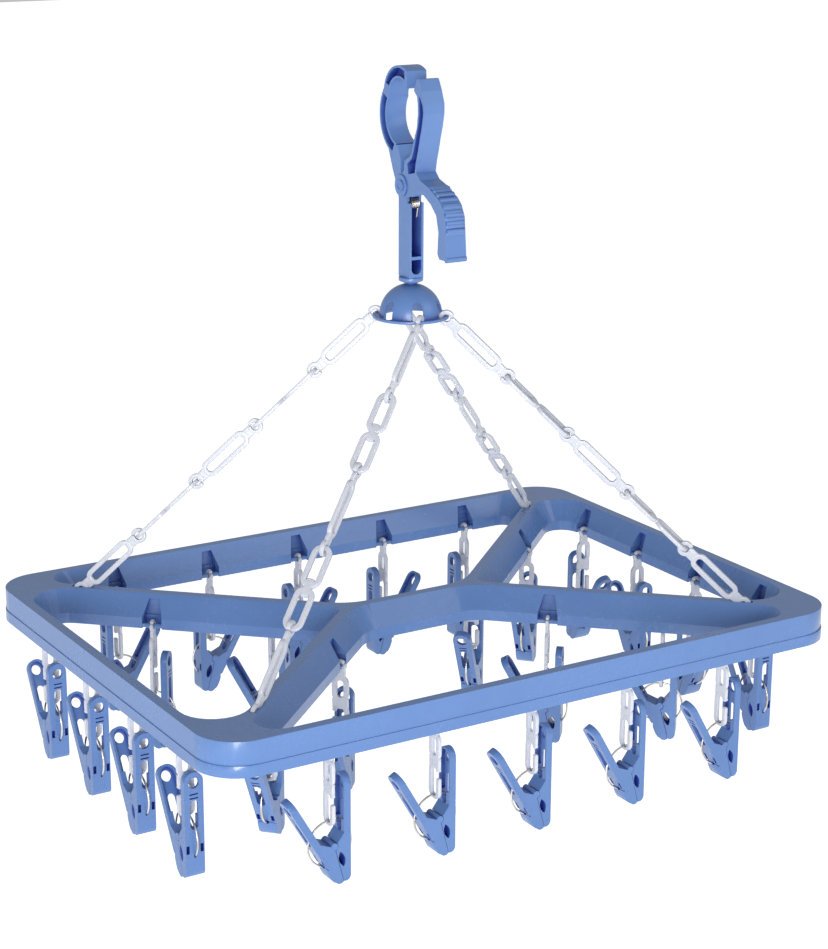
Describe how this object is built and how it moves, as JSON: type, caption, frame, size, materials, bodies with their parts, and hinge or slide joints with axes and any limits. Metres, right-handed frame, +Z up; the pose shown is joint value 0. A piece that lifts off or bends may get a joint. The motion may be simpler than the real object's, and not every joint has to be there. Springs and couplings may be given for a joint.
{
  "type": "clip drying hanger",
  "caption": "Rectangular drying frame with crossed web, hung by plastic chains from a swivel dome and spring clamp, with sprung pegs hanging on links",
  "frame": {"origin": "axis of the round rail the clamp closes on, above the middle of the frame", "axes": "+X runs along the clamped rail and along the long side of the frame, +Y towards the back, +Z up"},
  "size_m": [0.44, 0.324, 0.4368],
  "materials": {
    "frame_blue": "light blue moulded plastic, soft gloss",
    "clamp_blue": "light blue moulded plastic, soft gloss",
    "clip_blue": "light blue moulded plastic, satin",
    "link_white": "translucent white plastic, satin",
    "spring_wire": "bright drawn wire"
  },
  "bodies": {
    "hook": {"hook_stem": "clamp_blue", "hook_pivot_pin": "clamp_blue", "hook_spring": "spring_wire", "swivel_bolt": "clamp_blue"},
    "clamp_jaw": {"hook_jaw": "clamp_blue"},
    "frame": {"dome": "clamp_blue", "frame_shell": "frame_blue", "frame_band": "frame_blue", "chain_1_hooks": "link_white", "chain_2_hooks": "link_white", "chain_3_hooks": "link_white", "chain_4_hooks": "link_white", "chain_1_eyes": "link_white", "chain_2_eyes": "link_white", "chain_3_eyes": "link_white", "chain_4_eyes": "link_white", "arm_links": "link_white", "arm_clip_halves": "clip_blue", "arm_ring_springs": "spring_wire"},
    "front_row": {"front_links": "link_white", "front_clip_halves": "clip_blue", "front_ring_springs": "spring_wire"},
    "back_row": {"back_links": "link_white", "back_clip_halves": "clip_blue", "back_ring_springs": "spring_wire"},
    "left_row": {"left_links": "link_white", "left_clip_halves": "clip_blue", "left_ring_springs": "spring_wire"},
    "right_row": {"right_links": "link_white", "right_clip_halves": "clip_blue", "right_ring_springs": "spring_wire"},
    "front_jaw_1": {"front_clip_jaw_1": "clip_blue"},
    "front_jaw_2": {"front_clip_jaw_2": "clip_blue"},
    "front_jaw_3": {"front_clip_jaw_3": "clip_blue"},
    "front_jaw_4": {"front_clip_jaw_4": "clip_blue"},
    "front_jaw_5": {"front_clip_jaw_5": "clip_blue"},
    "back_jaw_1": {"back_clip_jaw_1": "clip_blue"},
    "back_jaw_2": {"back_clip_jaw_2": "clip_blue"},
    "back_jaw_3": {"back_clip_jaw_3": "clip_blue"},
    "back_jaw_4": {"back_clip_jaw_4": "clip_blue"},
    "back_jaw_5": {"back_clip_jaw_5": "clip_blue"},
    "left_jaw_1": {"left_clip_jaw_1": "clip_blue"},
    "left_jaw_2": {"left_clip_jaw_2": "clip_blue"},
    "left_jaw_3": {"left_clip_jaw_3": "clip_blue"},
    "left_jaw_4": {"left_clip_jaw_4": "clip_blue"},
    "right_jaw_1": {"right_clip_jaw_1": "clip_blue"},
    "right_jaw_2": {"right_clip_jaw_2": "clip_blue"},
    "right_jaw_3": {"right_clip_jaw_3": "clip_blue"},
    "right_jaw_4": {"right_clip_jaw_4": "clip_blue"},
    "arm_jaw_1": {"arm_clip_jaw_1": "clip_blue"},
    "arm_jaw_2": {"arm_clip_jaw_2": "clip_blue"},
    "arm_jaw_3": {"arm_clip_jaw_3": "clip_blue"},
    "arm_jaw_4": {"arm_clip_jaw_4": "clip_blue"},
    "arm_jaw_5": {"arm_clip_jaw_5": "clip_blue"},
    "arm_jaw_6": {"arm_clip_jaw_6": "clip_blue"},
    "arm_jaw_7": {"arm_clip_jaw_7": "clip_blue"},
    "arm_jaw_8": {"arm_clip_jaw_8": "clip_blue"}
  },
  "joints": [
    {"name": "clamp_jaw_hinge", "type": "hinge", "parent": "hook", "child": "clamp_jaw", "pos_m": [0, 0, -0.0415], "axis": [1, 0, 0], "range_deg": [0, 28], "stiffness_Nm_per_rad": 0.6},
    {"name": "frame_swivel", "type": "hinge", "parent": "hook", "child": "frame", "pos_m": [0, 0, -0.105], "axis": [0, 0, 1], "continuous": true},
    {"name": "front_row_swing", "type": "hinge", "parent": "frame", "child": "front_row", "pos_m": [0, -0.1497, -0.3242], "axis": [1, 0, 0], "range_deg": [-20, 20]},
    {"name": "back_row_swing", "type": "hinge", "parent": "frame", "child": "back_row", "pos_m": [0, 0.1497, -0.3242], "axis": [1, 0, 0], "range_deg": [-20, 20]},
    {"name": "left_row_swing", "type": "hinge", "parent": "frame", "child": "left_row", "pos_m": [-0.2077, 0, -0.3242], "axis": [0, 1, 0], "range_deg": [-15, 15]},
    {"name": "right_row_swing", "type": "hinge", "parent": "frame", "child": "right_row", "pos_m": [0.2077, 0, -0.3242], "axis": [0, 1, 0], "range_deg": [-15, 15]},
    {"name": "front_clip_1_squeeze", "type": "hinge", "parent": "front_row", "child": "front_jaw_1", "pos_m": [-0.144, -0.1497, -0.3831], "axis": [0, 1, 0], "range_deg": [0, 20], "stiffness_Nm_per_rad": 0.3},
    {"name": "front_clip_2_squeeze", "type": "hinge", "parent": "front_row", "child": "front_jaw_2", "pos_m": [-0.074, -0.1497, -0.3831], "axis": [0, 1, 0], "range_deg": [0, 20], "stiffness_Nm_per_rad": 0.3},
    {"name": "front_clip_3_squeeze", "type": "hinge", "parent": "front_row", "child": "front_jaw_3", "pos_m": [-0.0065, -0.1497, -0.3831], "axis": [0, 1, 0], "range_deg": [0, 20], "stiffness_Nm_per_rad": 0.3},
    {"name": "front_clip_4_squeeze", "type": "hinge", "parent": "front_row", "child": "front_jaw_4", "pos_m": [0.063, -0.1497, -0.3831], "axis": [0, 1, 0], "range_deg": [0, 20], "stiffness_Nm_per_rad": 0.3},
    {"name": "front_clip_5_squeeze", "type": "hinge", "parent": "front_row", "child": "front_jaw_5", "pos_m": [0.1365, -0.1497, -0.3831], "axis": [0, 1, 0], "range_deg": [0, 20], "stiffness_Nm_per_rad": 0.3},
    {"name": "back_clip_1_squeeze", "type": "hinge", "parent": "back_row", "child": "back_jaw_1", "pos_m": [-0.138, 0.1497, -0.3831], "axis": [0, -1, 0], "range_deg": [0, 20], "stiffness_Nm_per_rad": 0.3},
    {"name": "back_clip_2_squeeze", "type": "hinge", "parent": "back_row", "child": "back_jaw_2", "pos_m": [-0.069, 0.1497, -0.3831], "axis": [0, -1, 0], "range_deg": [0, 20], "stiffness_Nm_per_rad": 0.3},
    {"name": "back_clip_3_squeeze", "type": "hinge", "parent": "back_row", "child": "back_jaw_3", "pos_m": [0, 0.1497, -0.3831], "axis": [0, -1, 0], "range_deg": [0, 20], "stiffness_Nm_per_rad": 0.3},
    {"name": "back_clip_4_squeeze", "type": "hinge", "parent": "back_row", "child": "back_jaw_4", "pos_m": [0.069, 0.1497, -0.3831], "axis": [0, -1, 0], "range_deg": [0, 20], "stiffness_Nm_per_rad": 0.3},
    {"name": "back_clip_5_squeeze", "type": "hinge", "parent": "back_row", "child": "back_jaw_5", "pos_m": [0.138, 0.1497, -0.3831], "axis": [0, -1, 0], "range_deg": [0, 20], "stiffness_Nm_per_rad": 0.3},
    {"name": "left_clip_1_squeeze", "type": "hinge", "parent": "left_row", "child": "left_jaw_1", "pos_m": [-0.2077, -0.0975, -0.3831], "axis": [1, 0, 0], "range_deg": [0, 20], "stiffness_Nm_per_rad": 0.3},
    {"name": "left_clip_2_squeeze", "type": "hinge", "parent": "left_row", "child": "left_jaw_2", "pos_m": [-0.2077, -0.0325, -0.3831], "axis": [1, 0, 0], "range_deg": [0, 20], "stiffness_Nm_per_rad": 0.3},
    {"name": "left_clip_3_squeeze", "type": "hinge", "parent": "left_row", "child": "left_jaw_3", "pos_m": [-0.2077, 0.0325, -0.3831], "axis": [1, 0, 0], "range_deg": [0, 20], "stiffness_Nm_per_rad": 0.3},
    {"name": "left_clip_4_squeeze", "type": "hinge", "parent": "left_row", "child": "left_jaw_4", "pos_m": [-0.2077, 0.0975, -0.3831], "axis": [1, 0, 0], "range_deg": [0, 20], "stiffness_Nm_per_rad": 0.3},
    {"name": "right_clip_1_squeeze", "type": "hinge", "parent": "right_row", "child": "right_jaw_1", "pos_m": [0.2077, -0.0975, -0.3831], "axis": [1, 0, 0], "range_deg": [0, 20], "stiffness_Nm_per_rad": 0.3},
    {"name": "right_clip_2_squeeze", "type": "hinge", "parent": "right_row", "child": "right_jaw_2", "pos_m": [0.2077, -0.0325, -0.3831], "axis": [-1, 0, 0], "range_deg": [0, 20], "stiffness_Nm_per_rad": 0.3},
    {"name": "right_clip_3_squeeze", "type": "hinge", "parent": "right_row", "child": "right_jaw_3", "pos_m": [0.2077, 0.0325, -0.3831], "axis": [1, 0, 0], "range_deg": [0, 20], "stiffness_Nm_per_rad": 0.3},
    {"name": "right_clip_4_squeeze", "type": "hinge", "parent": "right_row", "child": "right_jaw_4", "pos_m": [0.2077, 0.0975, -0.3831], "axis": [-1, 0, 0], "range_deg": [0, 20], "stiffness_Nm_per_rad": 0.3},
    {"name": "arm_clip_1_squeeze", "type": "hinge", "parent": "frame", "child": "arm_jaw_1", "pos_m": [-0.14485, -0.07858, -0.3831], "axis": [-0.681, 0.7323, 0], "range_deg": [0, 20], "stiffness_Nm_per_rad": 0.3},
    {"name": "arm_clip_2_squeeze", "type": "hinge", "parent": "frame", "child": "arm_jaw_2", "pos_m": [-0.07691, -0.04489, -0.3831], "axis": [-0.681, 0.7323, 0], "range_deg": [0, 20], "stiffness_Nm_per_rad": 0.3},
    {"name": "arm_clip_3_squeeze", "type": "hinge", "parent": "frame", "child": "arm_jaw_3", "pos_m": [0.14485, -0.07858, -0.3831], "axis": [0.681, 0.7323, 0], "range_deg": [0, 20], "stiffness_Nm_per_rad": 0.3},
    {"name": "arm_clip_4_squeeze", "type": "hinge", "parent": "frame", "child": "arm_jaw_4", "pos_m": [0.07691, -0.04489, -0.3831], "axis": [0.681, 0.7323, 0], "range_deg": [0, 20], "stiffness_Nm_per_rad": 0.3},
    {"name": "arm_clip_5_squeeze", "type": "hinge", "parent": "frame", "child": "arm_jaw_5", "pos_m": [0.14485, 0.07858, -0.3831], "axis": [-0.681, 0.7323, 0], "range_deg": [0, 20], "stiffness_Nm_per_rad": 0.3},
    {"name": "arm_clip_6_squeeze", "type": "hinge", "parent": "frame", "child": "arm_jaw_6", "pos_m": [0.07691, 0.04489, -0.3831], "axis": [-0.681, 0.7323, 0], "range_deg": [0, 20], "stiffness_Nm_per_rad": 0.3},
    {"name": "arm_clip_7_squeeze", "type": "hinge", "parent": "frame", "child": "arm_jaw_7", "pos_m": [-0.14485, 0.07858, -0.3831], "axis": [0.681, 0.7323, 0], "range_deg": [0, 20], "stiffness_Nm_per_rad": 0.3},
    {"name": "arm_clip_8_squeeze", "type": "hinge", "parent": "frame", "child": "arm_jaw_8", "pos_m": [-0.07691, 0.04489, -0.3831], "axis": [0.681, 0.7323, 0], "range_deg": [0, 20], "stiffness_Nm_per_rad": 0.3}
  ]
}
